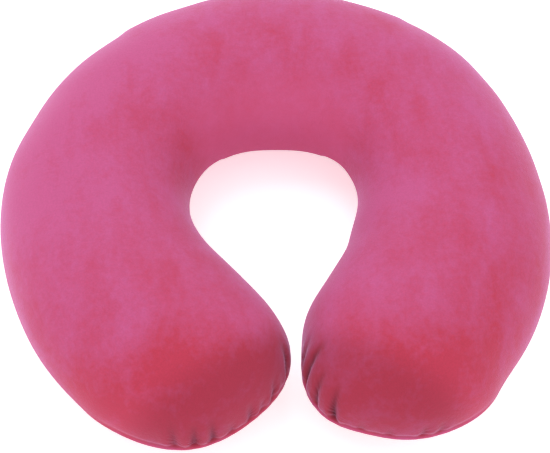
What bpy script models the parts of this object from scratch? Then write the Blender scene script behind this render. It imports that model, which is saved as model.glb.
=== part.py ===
"""U-shaped travel neck pillow: a velour cover with a zip round its back, a case inside it, and fibre fill.

X runs left to right, -Y is the open side where the two arm ends meet, and +Z is up. The pillow lies on
z = 0 with its bounding box centred on X = 0 and Y = 0. Sizes are in metres and angles in radians.
"""
import math

import bmesh
import bpy
import numpy as np
from mathutils import Matrix, Vector

# The stuffed tube's middle line: a ring round the neck, then arms that straighten and flare slightly.
RING_RADIUS = 0.1084
RING_ANGLE = math.radians(131.2)
ARM_LENGTH = 0.0837
FLARE_RADIUS = 0.180
BEND_EASE = 0.011
RING_CENTRE_Y = -0.0081
HALF_LENGTH = RING_RADIUS * RING_ANGLE + ARM_LENGTH
LINE_STEPS = 2001

# The tube's half width round the neck and at the arm ends, and where it starts to widen.
NECK_HALF_WIDTH = 0.0558
ARM_HALF_WIDTH = 0.0600
WIDEN_START = 0.119

# Each arm end rounds off over this length.
END_LENGTH = 0.0580
END_POWER = 2.2
ARM_START = HALF_LENGTH - END_LENGTH

# Heights above and below the seam. The belly slopes in from the seam, and is flat where it rests.
CROWN_RATIO = 0.82
CROWN_POWER = 2.1
BELLY_DEPTH = 0.0381
BELLY_POWER = 2.0
SEAM_HEIGHT = 0.0349

# Layers, as depths under the cover's outer face.
COVER = (0.0, 0.0020)
ZIP_COIL = (0.0008, 0.0022)
ZIP_TAPE = (0.0025, 0.0031)
INNER_CASE = (0.0050, 0.0056)
FILL_DEPTH = 0.0066
SEAM_GAP = 0.0003

# The zip runs round the back on the seam, in an upright band between the cover's two panels.
ZIP_RADIUS = RING_RADIUS + NECK_HALF_WIDTH
ZIP_STEP = math.radians(4.125)
ZIP_STEPS = 8
ZIP_ANGLE = ZIP_STEP * ZIP_STEPS
BAND_HALF_HEIGHT = 0.0040
COIL_SPAN = (0.0004, 0.0024)
TAPE_SPAN = (0.0004, 0.0110)
COIL_END = math.radians(31.6)
STOP_CENTRE = math.radians(32.2)
STOP_SIZE = Vector((0.0020, 0.0017, 0.0021))
STOP_DEPTH = 0.0014
BOTTOM_STOP_HEIGHT = 0.0050

# The slider, in its own directions: x along the zip, y out of the pillow, z up.
SLIDER_REST_ANGLE = math.radians(29.8)
SLIDER_LENGTH = 0.0090
SLIDER_HEIGHT = 0.0068
SLIDER_FRONT = (-0.0004, 0.0003)
SLIDER_BACK = (-0.0043, -0.0035)
FLANGE_THICKNESS = 0.00065
FLANGE_DEPTH = -0.0020
POST_LENGTH = 0.0025
POST_THICKNESS = 0.0005
CROWN_LENGTH = 0.0052
CROWN_WIDTH = 0.0018
CROWN_TOP = 0.0030
CROWN_WINDOW = (0.0034, 0.0020)
JOIN_OVERLAP = 0.0002

# The pull tab lies along the closed zip and turns about its cross bar, inside the crown's window.
PULL_PIVOT_OUT = 0.0013
PULL_THICKNESS = 0.0011
PULL_LENGTH = 0.0240
PULL_NECK_WIDTH = 0.0048
PULL_TAB_WIDTH = 0.0068
PULL_EYE_LENGTH = 0.0031
PULL_EYE_WIDTH = 0.0026
PULL_BAR = 0.0011
TAB_ARC_STEPS = 12

# The care label is a folded strip sewn into the seam beside the zip. It hangs down over the lower panel.
LABEL_CENTRE = -0.093
LABEL_WIDTH = 0.026
LABEL_DROP = 0.027
LABEL_STANDOFF = 0.0003
LABEL_THICKNESS = 0.0004
LABEL_COLUMNS = 6

# Mesh density: stations along one half beyond the zip, stations round an arm end, points over a panel.
SIDE_STATIONS = 10
END_STATIONS = 8
PANEL_POINTS = 15
CASE_POINTS = 11
STRIP_POINTS = 4
INNER_SKIP = 2
MERGE = 0.000001

# Colour, roughness and metallic of each material.
FINISHES = {
    "velour_top": ((0.60, 0.095, 0.230), 0.95, 0.0),
    "velour_bottom": ((0.56, 0.085, 0.205), 0.95, 0.0),
    "zip_tape": ((0.52, 0.075, 0.180), 0.85, 0.0),
    "zip_coil": ((0.55, 0.080, 0.200), 0.40, 0.0),
    "zip_metal": ((0.62, 0.61, 0.60), 0.30, 1.0),
    "label_satin": ((0.86, 0.85, 0.83), 0.45, 0.0),
    "case_cloth": ((0.80, 0.79, 0.76), 0.90, 0.0),
    "fibre": ((0.90, 0.90, 0.88), 1.0, 0.0),
}


def clear_scene():
    for item in list(bpy.data.objects):
        bpy.data.objects.remove(item, do_unlink=True)


def finish(name):
    """Return the named material, making it the first time."""
    if name in bpy.data.materials:
        return bpy.data.materials[name]
    colour, roughness, metallic = FINISHES[name]
    material = bpy.data.materials.new(name)
    material.use_nodes = True
    shader = material.node_tree.nodes["Principled BSDF"]
    shader.inputs["Base Color"].default_value = (*colour, 1.0)
    shader.inputs["Roughness"].default_value = roughness
    shader.inputs["Metallic"].default_value = metallic
    return material


def ease(value):
    value = min(max(value, 0.0), 1.0)
    return value * value * (3.0 - 2.0 * value)


def running_sum(values, step):
    """Integrate evenly spaced values by the trapezium rule, starting from zero."""
    return np.concatenate([[0.0], np.cumsum((values[1:] + values[:-1]) * step / 2.0)])


def middle_line():
    """Return arc length, x, y and clockwise heading along the right half of the tube's middle line."""
    length = np.linspace(0.0, HALF_LENGTH, LINE_STEPS)
    ring_end = RING_RADIUS * RING_ANGLE
    bend = np.interp(length, [ring_end - BEND_EASE, ring_end + BEND_EASE],
                     [1.0 / RING_RADIUS, -1.0 / FLARE_RADIUS])
    heading = running_sum(bend, length[1])
    x = running_sum(np.cos(heading), length[1])
    y = RING_CENTRE_Y + RING_RADIUS - running_sum(np.sin(heading), length[1])
    return length, x, y, heading


LINE = middle_line()


def line_point(along):
    """Return the middle line's point at a signed arc length, and the direction out of the U there."""
    length, x, y, heading = LINE
    side = math.copysign(1.0, along)
    turn = float(np.interp(abs(along), length, heading))
    place = Vector((side * float(np.interp(abs(along), length, x)),
                    float(np.interp(abs(along), length, y)), 0.0))
    return place, Vector((side * math.sin(turn), math.cos(turn), 0.0))


def half_width(along):
    """Half width of the tube at the seam, before an arm's end rounds it off."""
    to_arm = ease((abs(along) - WIDEN_START) / (ARM_START - WIDEN_START))
    return NECK_HALF_WIDTH + (ARM_HALF_WIDTH - NECK_HALF_WIDTH) * to_arm


def into_end(along):
    """How far into an arm's rounded end a place is, from 0 to 1."""
    return min(max(1.0 - (HALF_LENGTH - abs(along)) / END_LENGTH, 0.0), 1.0)


def end_rounding(along):
    """Scale of the section: 1 along the tube, falling to 0 at the arm's end."""
    return (1.0 - into_end(along) ** END_POWER) ** (1.0 / END_POWER)


def pull_back(along, inset):
    """Shorten an arm's rounded end by the inset, so that a deeper layer ends inside the one over it."""
    beyond = max(abs(along) - ARM_START, 0.0)
    return math.copysign(abs(along) - beyond * inset / END_LENGTH, along)


def full_rise(along, inset, side):
    """A layer's height over the seam along the tube's middle, or its depth below, before any flattening."""
    full = CROWN_RATIO * half_width(along) if side > 0 else BELLY_DEPTH
    return full - inset


def rise_share(along, angle, side):
    """Share of the full rise at a section angle: round above the seam, sloping in from it below."""
    if side > 0:
        return max(math.sin(angle), 0.0) ** (2.0 / CROWN_POWER) * end_rounding(along)
    across = abs(math.cos(angle)) ** (2.0 / CROWN_POWER) * end_rounding(along)
    from_middle = (across ** END_POWER + into_end(along) ** END_POWER) ** (1.0 / END_POWER)
    return max(1.0 - from_middle ** BELLY_POWER, 0.0)


def share_angle(share, side):
    """Section angle on the outer half, before the arm's end, at which this share of the rise is reached."""
    if side > 0:
        return math.asin(share ** (CROWN_POWER / 2.0))
    return math.acos((1.0 - share) ** (CROWN_POWER / (2.0 * BELLY_POWER)))


def form_point(along, angle, inset, side, band=0.0):
    """Return a point of the layer at this depth: angle 0 is its outer edge, pi its inner edge on the seam.

    Over the zip, the outer edge stands the height of the band above or below the seam.
    """
    across = math.cos(angle)
    reach = (half_width(along) - inset) * end_rounding(along)
    reach *= math.copysign(abs(across) ** (2.0 / CROWN_POWER), across)
    lift = band * (1.0 + across) / 2.0
    rise = lift + (full_rise(along, inset, side) - lift) * rise_share(along, angle, side)
    if side < 0:
        rise = min(rise, SEAM_HEIGHT - SEAM_GAP / 2.0 - inset)
    place, out = line_point(pull_back(along, inset))
    place += out * reach
    place.z = SEAM_HEIGHT + side * (SEAM_GAP / 2.0 + rise)
    return place


def zip_band(along):
    """Height of the zip's upright band on each side of the seam, fading out past the zip's ends."""
    beyond = abs(along) / RING_RADIUS - ZIP_ANGLE
    return BAND_HALF_HEIGHT * (1.0 - ease(beyond / ZIP_STEP))


def no_band(along):
    return 0.0


def stations():
    """Return arc lengths from the left arm's end to the right: even over the zip, closer at the ends."""
    zip_end = RING_RADIUS * ZIP_ANGLE
    right = [RING_RADIUS * ZIP_STEP * index for index in range(1, ZIP_STEPS + 1)]
    right += [zip_end + RING_RADIUS * ZIP_STEP]
    stretch = ARM_START - right[-1]
    right += [right[-1] + stretch * (index + 1) / SIDE_STATIONS for index in range(SIDE_STATIONS)]
    for index in range(1, END_STATIONS + 1):
        right.append(ARM_START + END_LENGTH * math.sin(math.pi / 2.0 * index / END_STATIONS))
    return [-value for value in reversed(right)] + [0.0] + right


def zip_stations(end_angle):
    """Return arc lengths over the zip, in step with the cover's, from one end of the zip to the other."""
    inner = [RING_RADIUS * ZIP_STEP * index for index in range(-ZIP_STEPS + 1, ZIP_STEPS)]
    end = RING_RADIUS * end_angle
    return [-end] + inner + [end]


def new_object(name, mesh_data, material):
    """Write a bmesh to a new object with one material, faces out and shaded smooth up to sharp edges."""
    bmesh.ops.remove_doubles(mesh_data, verts=mesh_data.verts, dist=MERGE)
    bmesh.ops.recalc_face_normals(mesh_data, faces=mesh_data.faces)
    mesh = bpy.data.meshes.new(name)
    mesh_data.to_mesh(mesh)
    mesh_data.free()
    mesh.shade_smooth()
    mesh.set_sharp_from_angle(angle=math.radians(40))
    piece = bpy.data.objects.new(name, mesh)
    piece.data.materials.append(finish(material))
    bpy.context.scene.collection.objects.link(piece)
    return piece


def loft(name, rings, material, capped=True):
    """Make one closed solid by bridging equal rings of points, closing its ends with a face each."""
    mesh_data = bmesh.new()
    rows = [[mesh_data.verts.new(point) for point in ring] for ring in rings]
    count = len(rows[0])
    for near, far in zip(rows, rows[1:]):
        for index in range(count):
            after = (index + 1) % count
            mesh_data.faces.new((near[index], near[after], far[after], far[index]))
    if capped:
        mesh_data.faces.new(list(reversed(rows[0])))
        mesh_data.faces.new(rows[-1])
    return new_object(name, mesh_data, material)


def panel_ring(along, depths, side, band, points):
    """Return one station's ring of a panel: over its outer face and back along its inner face."""
    angles = [math.pi * index / (points - 1) for index in range(points)]
    outer, inner = depths
    ring = [form_point(along, angle, outer, side, band) for angle in angles]
    return ring + [form_point(along, angle, inner, side, band) for angle in reversed(angles)]


def panel(name, depths, side, band, points, skip, material):
    """Make one half of a cover or case: a curved shell from seam to seam, closed at both arm ends."""
    rings = [panel_ring(along, depths, side, band(along), points) for along in stations()[::skip]]
    return loft(name, rings, material, capped=False)


def fill():
    """Make the fibre that fills the inner case, as one solid."""
    rings = []
    for along in stations()[::INNER_SKIP]:
        angles = [math.pi * index / (CASE_POINTS - 1) for index in range(CASE_POINTS)]
        ring = [form_point(along, angle, FILL_DEPTH, 1) for angle in angles]
        ring += [form_point(along, angle, FILL_DEPTH, -1) for angle in reversed(angles)]
        rings.append(ring)
    return loft("fibre_fill", rings, "fibre", capped=False)


def band_point(along, height, inset, side):
    """Return a layer's point at this height from the seam: upright over the band, then on the panel's form."""
    band = zip_band(along)
    if height <= band:
        return form_point(along, 0.0, inset, side, height)
    share = (height - band) / (full_rise(along, inset, side) - band)
    return form_point(along, share_angle(share, side), inset, side, band)


def zip_strip(name, depths, span, side, end_angle, material):
    """Make a strip along the zip between two depths and two heights from the seam."""
    low, high = span
    heights = [low + (high - low) * index / (STRIP_POINTS - 1) for index in range(STRIP_POINTS)]
    outer, inner = depths
    rings = []
    for along in zip_stations(end_angle):
        ring = [band_point(along, height, outer, side) for height in heights]
        ring += [band_point(along, height, inner, side) for height in reversed(heights)]
        rings.append(ring)
    return loft(name, rings, material)


def zip_place(angle, out, up):
    """Return the matrix of a frame on the zip: x along it, y out of the pillow and z up."""
    turned = Matrix.Rotation(-angle, 4, "Z")
    centre = Matrix.Translation((0.0, RING_CENTRE_Y, SEAM_HEIGHT))
    return centre @ turned @ Matrix.Translation((0.0, ZIP_RADIUS + out, up))


def box_mesh(size, centre):
    mesh_data = bmesh.new()
    place = Matrix.Translation(centre) @ Matrix.Diagonal((*size, 1.0))
    bmesh.ops.create_cube(mesh_data, size=1.0, matrix=place)
    return mesh_data


def box_between(name, low, high, material):
    """Make a box from its lowest and highest corners."""
    low = Vector(low)
    high = Vector(high)
    return new_object(name, box_mesh(high - low, (low + high) / 2.0), material)


def bevel(piece, width, segments=2):
    modifier = piece.modifiers.new("bevel", "BEVEL")
    modifier.width = width
    modifier.segments = segments
    modifier.limit_method = "ANGLE"


def combine(piece, tool, operation):
    """Join a guide solid to a piece or cut it away, and leave the guide out of the build."""
    modifier = piece.modifiers.new(tool.name, "BOOLEAN")
    modifier.operation = operation
    modifier.solver = "EXACT"
    modifier.object = tool
    tool.hide_render = True
    tool.display_type = "WIRE"
    tool.parent = piece


def zip_stop(name, angle, height, up):
    """Make a small clamp at the end of the coils."""
    size = Vector((STOP_SIZE.x, STOP_SIZE.y, height))
    stop = new_object(name, box_mesh(size, Vector()), "zip_metal")
    stop.matrix_world = zip_place(angle, -STOP_DEPTH, up)
    bevel(stop, 0.0003)
    return stop


def zip_slider():
    """Make the slider: two plates on a post, side flanges, and a crown that holds the pull."""
    half_length = SLIDER_LENGTH / 2.0
    half_height = SLIDER_HEIGHT / 2.0
    front_in, front_out = SLIDER_FRONT
    back_in, back_out = SLIDER_BACK
    slider = box_between("zip_slider", (-half_length, front_in, -half_height),
                         (half_length, front_out, half_height), "zip_metal")
    pieces = [
        ("back_plate", (-half_length, back_in, -half_height), (half_length, back_out, half_height)),
        ("post", (half_length - POST_LENGTH, back_out - JOIN_OVERLAP, -POST_THICKNESS / 2.0),
         (half_length - JOIN_OVERLAP, front_in + JOIN_OVERLAP, POST_THICKNESS / 2.0)),
    ]
    for side in (-1, 1):
        low, high = sorted((side * (half_height - FLANGE_THICKNESS), side * (half_height - JOIN_OVERLAP)))
        pieces.append((f"flange_{side}", (-half_length + JOIN_OVERLAP, FLANGE_DEPTH, low),
                       (half_length - JOIN_OVERLAP, front_in + JOIN_OVERLAP, high)))
    pieces.append(("crown", (-CROWN_LENGTH / 2.0, front_out - JOIN_OVERLAP, -CROWN_WIDTH / 2.0),
                   (CROWN_LENGTH / 2.0, CROWN_TOP, CROWN_WIDTH / 2.0)))
    for name, low, high in pieces:
        combine(slider, box_between(f"slider_{name}", low, high, "zip_metal"), "UNION")
    window_length, window_height = CROWN_WINDOW
    window = box_between("slider_window", (-window_length / 2.0, front_out, -CROWN_WIDTH),
                         (window_length / 2.0, front_out + window_height, CROWN_WIDTH), "zip_metal")
    combine(slider, window, "DIFFERENCE")
    return slider


def pull_outline():
    """Return the pull tab's outline in x and z: straight at the eye, wider and round at its far end."""
    tab_radius = PULL_TAB_WIDTH / 2.0
    near = PULL_BAR / 2.0
    round_centre = -(PULL_LENGTH - tab_radius)
    outline = [(near, PULL_NECK_WIDTH / 2.0), (-PULL_EYE_LENGTH - 2 * PULL_BAR, PULL_NECK_WIDTH / 2.0)]
    for index in range(TAB_ARC_STEPS + 1):
        angle = math.pi / 2.0 + math.pi * index / TAB_ARC_STEPS
        outline.append((round_centre + tab_radius * math.cos(angle), tab_radius * math.sin(angle)))
    outline += [(-PULL_EYE_LENGTH - 2 * PULL_BAR, -PULL_NECK_WIDTH / 2.0), (near, -PULL_NECK_WIDTH / 2.0)]
    return outline


def zip_pull():
    """Make the pull tab about its cross bar, with the eye that the slider's crown passes through."""
    half_thickness = PULL_THICKNESS / 2.0
    rings = [[Vector((x, y, z)) for x, z in pull_outline()] for y in (-half_thickness, half_thickness)]
    pull = loft("zip_pull", rings, "zip_metal")
    eye = box_between("pull_eye", (-PULL_EYE_LENGTH - PULL_BAR / 2.0, -PULL_THICKNESS, -PULL_EYE_WIDTH / 2.0),
                      (-PULL_BAR / 2.0, PULL_THICKNESS, PULL_EYE_WIDTH / 2.0), "zip_metal")
    combine(pull, eye, "DIFFERENCE")
    bevel(pull, 0.0002)
    return pull


def moving_zip_parts():
    """Hang the slider on the zip's centre of travel, and the pull on the slider's cross bar."""
    travel = bpy.data.objects.new("zip_travel_axis", None)
    bpy.context.scene.collection.objects.link(travel)
    travel.location = (0.0, RING_CENTRE_Y, SEAM_HEIGHT)
    travel.rotation_euler = (0.0, 0.0, -SLIDER_REST_ANGLE)
    slider = zip_slider()
    slider.parent = travel
    slider.location = (0.0, ZIP_RADIUS, 0.0)
    pivot = bpy.data.objects.new("zip_pull_axis", None)
    bpy.context.scene.collection.objects.link(pivot)
    pivot.parent = slider
    pivot.location = (0.0, PULL_PIVOT_OUT, 0.0)
    pull = zip_pull()
    pull.parent = pivot


def care_label():
    """Make the blank folded label, hanging straight down from the seam."""
    rings = []
    for index in range(LABEL_COLUMNS + 1):
        along = LABEL_CENTRE + LABEL_WIDTH * (index / LABEL_COLUMNS - 0.5)
        place, out = line_point(along)
        near = half_width(along) + LABEL_STANDOFF
        ring = []
        for reach, up in ((near, 0.0), (near + LABEL_THICKNESS, 0.0),
                          (near + LABEL_THICKNESS, -LABEL_DROP), (near, -LABEL_DROP)):
            ring.append(place + out * reach + Vector((0.0, 0.0, SEAM_HEIGHT + up)))
        rings.append(ring)
    return loft("care_label", rings, "label_satin")


def build_pillow():
    panel("cover_top_panel", COVER, 1, zip_band, PANEL_POINTS, 1, "velour_top")
    panel("cover_bottom_panel", COVER, -1, zip_band, PANEL_POINTS, 1, "velour_bottom")
    panel("inner_case_top", INNER_CASE, 1, no_band, CASE_POINTS, INNER_SKIP, "case_cloth")
    panel("inner_case_bottom", INNER_CASE, -1, no_band, CASE_POINTS, INNER_SKIP, "case_cloth")
    fill()
    for label, side in (("upper", 1), ("lower", -1)):
        zip_strip(f"zip_tape_{label}", ZIP_TAPE, TAPE_SPAN, side, ZIP_ANGLE, "zip_tape")
        zip_strip(f"zip_coil_{label}", ZIP_COIL, COIL_SPAN, side, COIL_END, "zip_coil")
        stop_up = side * (COIL_SPAN[0] + STOP_SIZE.z / 2.0)
        zip_stop(f"zip_top_stop_{label}", STOP_CENTRE, STOP_SIZE.z, stop_up)
    zip_stop("zip_bottom_stop", -STOP_CENTRE, BOTTOM_STOP_HEIGHT, 0.0)
    moving_zip_parts()
    care_label()


clear_scene()
build_pillow()
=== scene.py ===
"""Looks of the U-shaped velour neck pillow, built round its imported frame.

X runs left to right, -Y is the open side and +Z is up. The pillow lies on z = 0. Sizes are in metres.
"""
import math

import bmesh
import bpy
import numpy as np
from mathutils import Matrix, Vector, kdtree, noise


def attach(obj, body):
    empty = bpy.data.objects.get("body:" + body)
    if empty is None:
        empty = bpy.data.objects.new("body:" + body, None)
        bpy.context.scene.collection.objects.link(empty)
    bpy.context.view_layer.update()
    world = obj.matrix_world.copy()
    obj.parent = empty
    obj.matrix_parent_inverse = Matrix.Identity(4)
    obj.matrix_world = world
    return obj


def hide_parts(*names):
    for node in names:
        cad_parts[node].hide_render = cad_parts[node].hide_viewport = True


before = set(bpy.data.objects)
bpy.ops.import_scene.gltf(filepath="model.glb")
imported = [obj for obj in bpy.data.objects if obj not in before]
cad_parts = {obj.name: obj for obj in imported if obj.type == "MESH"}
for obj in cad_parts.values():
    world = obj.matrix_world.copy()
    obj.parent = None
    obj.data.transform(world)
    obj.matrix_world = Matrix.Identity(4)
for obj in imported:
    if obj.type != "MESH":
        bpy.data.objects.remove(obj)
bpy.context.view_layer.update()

# The stuffed tube's middle line, half widths and heights, as in the CAD model.
RING_RADIUS = 0.1084
RING_ANGLE = math.radians(131.2)
ARM_LENGTH = 0.0837
FLARE_RADIUS = 0.180
BEND_EASE = 0.011
RING_CENTRE_Y = -0.0081
HALF_LENGTH = RING_RADIUS * RING_ANGLE + ARM_LENGTH
NECK_HALF_WIDTH = 0.0558
ARM_HALF_WIDTH = 0.0600
WIDEN_START = 0.119
END_LENGTH = 0.0580
END_POWER = 2.2
ARM_START = HALF_LENGTH - END_LENGTH
CROWN_RATIO = 0.82
CROWN_POWER = 2.1
BELLY_DEPTH = 0.0381
BELLY_POWER = 2.0
SEAM_HEIGHT = 0.0349
LINE_STEPS = 2001

# The zip in its upright band round the back.
ZIP_RADIUS = RING_RADIUS + NECK_HALF_WIDTH
ZIP_ANGLE = math.radians(33)
BAND_HALF_HEIGHT = 0.0040
BAND_FADE = math.radians(4.125)
MOUTH_END = math.radians(32.4)
MOUTH_FADE = math.radians(1.6)
MOUTH_ROWS = 6
MOUTH_SHARE = 0.25
COIL_DEPTHS = (0.0008, 0.0022)
COIL_SPAN = (0.0004, 0.0024)
COIL_ANGLE = math.radians(31.6)
COIL_PITCH = 0.00125
COIL_WIRE = 0.00028
COIL_STEPS = 12
TAPE_DEPTHS = (0.0025, 0.0031)
TAPE_SPAN = (0.0004, 0.0110)
TAPE_COLUMNS = 12
TAPE_ROWS = 150
STITCH_LENGTH = 0.0024
STITCH_SPACING = 0.0033
STITCH_RADIUS = 0.00022
STITCH_HEIGHT = 0.0068
STITCH_SIDES = 6
STITCH_SWELL = (0.35, 0.85, 1.0, 0.85, 0.35)
STITCH_DIPS = (0.00025, 0.0, -0.00008, 0.0, 0.00025)

# Cover panels: mesh density, rolled seam edge, cloth thickness, and the stuffing's unevenness.
BODY_ROWS = 150
ROW_GAP = 0.0012
END_ROWS = 76
END_CROWDING = 1.6
CROWN_COLUMNS = 110
EDGE_COLUMNS = 7
EDGE_ROLL = 0.0016
EDGE_SHELF = 0.0016
COVER_THICKNESS = 0.0012
SEAM_SAMPLES = 900
FLOOR_CLEARANCE = 0.0004
LUMP_SIZE = 0.052
LUMP_HEIGHT = 0.0010
LUMP_START = 0.02

# Inner case and fill, as depths under the cover's outer face.
CASE_DEPTH = 0.0050
CASE_THICKNESS = 0.0006
FILL_DEPTH = 0.0068
INNER_ROWS = 120
INNER_COLUMNS = 40
CASE_PUFF = 0.0004
FILL_PUFF = 0.0012
INNER_LUMP_SIZE = 0.022

# The care label: its place along the seam, its size when folded, its fold's radius and its cloth.
LABEL_CENTRE = -0.093
LABEL_WIDTH = 0.026
LABEL_DROP = 0.027
LABEL_FOLD = 0.0007
LABEL_CLOTH = 0.00022

# The label's folded path: how far out its front and back start, how much they bow, and how far down
# from the seam they begin and run.
LABEL_OUT = (0.0013, -0.0001)
LABEL_BOW = (0.0011, 0.0009)
LABEL_SHOULDER = 0.0020
LABEL_RUN = LABEL_DROP - 0.0030
LABEL_STEPS = 12
LABEL_FOLD_STEPS = 6
LABEL_COLUMNS = 16
LABEL_RIPPLE = 0.0006

# The stuffing pushes the outline out here and there: place x and y, reach, and shift x and y.
LEANS = [
    (0.046, -0.019, 0.020, -0.0058, -0.0010),
    (0.042, 0.030, 0.014, 0.0014, 0.0014),
    (0.020, -0.061, 0.020, 0.0016, 0.0),
    (-0.050, 0.012, 0.026, -0.0022, 0.0),
    (-0.040, 0.030, 0.014, -0.0008, 0.0012),
    (0.002, 0.042, 0.020, 0.0, -0.0034),
    (-0.008, -0.104, 0.026, 0.0044, 0.0),
    (0.012, -0.120, 0.022, -0.0016, 0.0),
    (-0.115, -0.125, 0.024, -0.0012, -0.0008),
    (-0.104, -0.142, 0.020, 0.0014, 0.0018),
    (-0.021, -0.139, 0.022, -0.0014, 0.0018),
    (-0.058, -0.160, 0.028, 0.0, -0.0032),
    (-0.140, -0.105, 0.030, -0.0012, -0.0004),
    (-0.166, 0.008, 0.040, -0.0016, 0.0),
    (0.019, -0.142, 0.018, -0.0014, -0.0020),
    (0.060, -0.156, 0.036, 0.0, -0.0036),
    (0.135, -0.110, 0.028, 0.0004, -0.0004),
    (0.165, 0.011, 0.045, -0.0022, 0.0),
]

# The same for the crown alone, well above the zip.
CROWN_LEANS = [
    (-0.062, 0.112, 0.048, 0.0010, -0.0028),
    (0.098, 0.098, 0.040, 0.0014, 0.0022),
]
CROWN_LEAN_HEIGHT = 0.026

# Gathers pulled in by the seam at the arm ends: arm, distance from the end, reach, depth, width, slant.
GATHERS = [
    (1, -0.0600, 0.024, 0.0020, 0.0017, -0.6),
    (1, -0.0490, 0.036, 0.0034, 0.0019, -0.45),
    (1, -0.0365, 0.030, 0.0026, 0.0017, -0.3),
    (1, -0.0235, 0.030, 0.0032, 0.0018, -0.2),
    (1, -0.0080, 0.013, 0.0012, 0.0015, 0.0),
    (1, 0.0080, 0.013, 0.0012, 0.0015, 0.0),
    (1, 0.0265, 0.016, 0.0016, 0.0016, 0.1),
    (1, 0.0367, 0.015, 0.0014, 0.0016, 0.1),
    (-1, -0.0530, 0.028, 0.0028, 0.0019, -0.5),
    (-1, -0.0380, 0.020, 0.0022, 0.0016, -0.3),
    (-1, -0.0290, 0.014, 0.0014, 0.0015, -0.2),
    (-1, -0.0206, 0.019, 0.0020, 0.0016, -0.1),
    (-1, -0.0080, 0.014, 0.0014, 0.0015, 0.0),
    (-1, 0.0033, 0.024, 0.0024, 0.0017, 0.0),
    (-1, 0.0142, 0.024, 0.0024, 0.0017, 0.0),
    (-1, 0.0250, 0.026, 0.0018, 0.0019, 0.1),
]
GATHER_DEEPEST = 0.0026
GATHER_START = 0.0075
GATHER_SPREAD = 1.25

# Close to the seam at the arm ends, the edge rolls out and the surface dips behind it, each given as a
# distance from the seam, a width and a height. The edge's crest gets a painted highlight.
EDGE_RIPPLES = ((0.0012, 0.0010, 0.0003), (0.0042, 0.0016, -0.0006))
RIPPLE_REACH = 0.085
EDGE_CREST = 0.0014
EDGE_PAINTED_HIGHLIGHT = 0.55

# The lower panel's edge is tucked in under the upper one's, all round but for the zip: how far in, and
# how far below the seam the tuck ends.
TUCK = 0.0016
TUCK_HEIGHT = 0.012

# Where hands have brushed the pile to a deeper or a brighter tone: place x and y, reach, change of tone.
BRUSHINGS = [
    (-0.063, -0.095, 0.032, -0.32),
    (0.023, -0.110, 0.026, -0.40),
    (0.100, -0.080, 0.030, -0.30),
    (0.080, -0.102, 0.022, -0.14),
    (-0.110, -0.115, 0.026, -0.18),
    (-0.021, 0.090, 0.026, -0.24),
    (0.054, 0.062, 0.024, -0.28),
    (-0.147, 0.006, 0.045, 0.20),
    (-0.086, 0.095, 0.040, 0.24),
    (0.103, 0.078, 0.032, 0.22),
    (0.135, -0.030, 0.026, -0.14),
    (0.050, -0.033, 0.024, 0.16),
]

# The names of the two values that the velour panels carry at each point for their material.
# The first is painted shade in the creases, negative for a painted highlight on the edge's crest.
PAINTED_SHADE_AND_HIGHLIGHT = "crease"
BRUSHED = "brushed"

# Painted light and shade: faces turned this way get the brighter tone, those turned from it the deeper,
# over this range.
PAINTED_LIGHT_WAY = (-0.40, 0.90, 0.0)
PAINTED_LIGHT_FACING = (-0.75, 0.40)
PAINTED_LIGHT_TONES = (0.46, 0.86)

# Painted shade at the arm ends, darker towards their front: how far forward the deeper tone and the shade
# begin and end.
END_PAINTED_SHADE_SPAN = (-0.134, -0.095)
END_PAINTED_SHADE = 0.42
FRONT_SHADE_SLANT = 0.60
FRONT_SHADE_SPAN = (0.084, 0.110)
FRONT_PAINTED_SHADE = 0.26
CREASE_SHADE = 0.75
SHADE_COLOUR = (0.06, 0.004, 0.008)

# Painted light on the back wall of the neck opening: how squarely it faces the front, where along Y it
# begins, how much of the lighter colour it takes, and that colour.
WALL_LIGHT_FACING = (0.20, 0.85)
WALL_LIGHT_SPAN = (-0.02, 0.04)
WALL_LIGHT_SHARE = 0.65
WALL_LIGHT_COLOUR = (0.60, 0.100, 0.235)

# The camera: azimuth, elevation and roll in degrees, lens in millimetres, distance, and what it aims at.
CAMERA_TURN = (-7.62, 56.55, 4.10)
CAMERA_LENS = 99.9
CAMERA_DISTANCE = 0.93
CAMERA_AIM = (-0.0018, -0.0106, 0.0278)

# The studio: half the floor's side, its glow, and the lights' places, width and powers.
FLOOR_HALF = 4.0
FLOOR_GLOW = 0.50
LIGHT_SIZE = 1.5
KEY_PLACE = (-0.5, 0.6, 1.5)
KEY_POWER = 10.0
FILL_PLACE = (0.5, -0.9, 1.2)
FILL_POWER = 2.0


def running_sum(values, step):
    """Integrate evenly spaced values by the trapezium rule, starting from zero."""
    return np.concatenate([[0.0], np.cumsum((values[1:] + values[:-1]) * step / 2.0)])


def middle_line():
    """Return arc length, x, y and clockwise heading along the right half of the tube's middle line."""
    length = np.linspace(0.0, HALF_LENGTH, LINE_STEPS)
    ring_end = RING_RADIUS * RING_ANGLE
    bend = np.interp(length, [ring_end - BEND_EASE, ring_end + BEND_EASE],
                     [1.0 / RING_RADIUS, -1.0 / FLARE_RADIUS])
    heading = running_sum(bend, length[1])
    x = running_sum(np.cos(heading), length[1])
    y = RING_CENTRE_Y + RING_RADIUS - running_sum(np.sin(heading), length[1])
    return length, x, y, heading


LINE = middle_line()


def ease(value):
    """0 below 0, 1 above 1, and a smooth step between."""
    value = np.clip(value, 0.0, 1.0)
    return value * value * (3.0 - 2.0 * value)


def line_points(along):
    """Return middle-line points at signed arc lengths, and the directions out of the U there."""
    length, x, y, heading = LINE
    side = np.where(along < 0.0, -1.0, 1.0)
    place_x, place_y, turn = (np.interp(np.abs(along), length, values) for values in (x, y, heading))
    flat = np.zeros_like(turn)
    place = np.stack([side * place_x, place_y, flat], -1)
    return place, np.stack([side * np.sin(turn), np.cos(turn), flat], -1)


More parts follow.
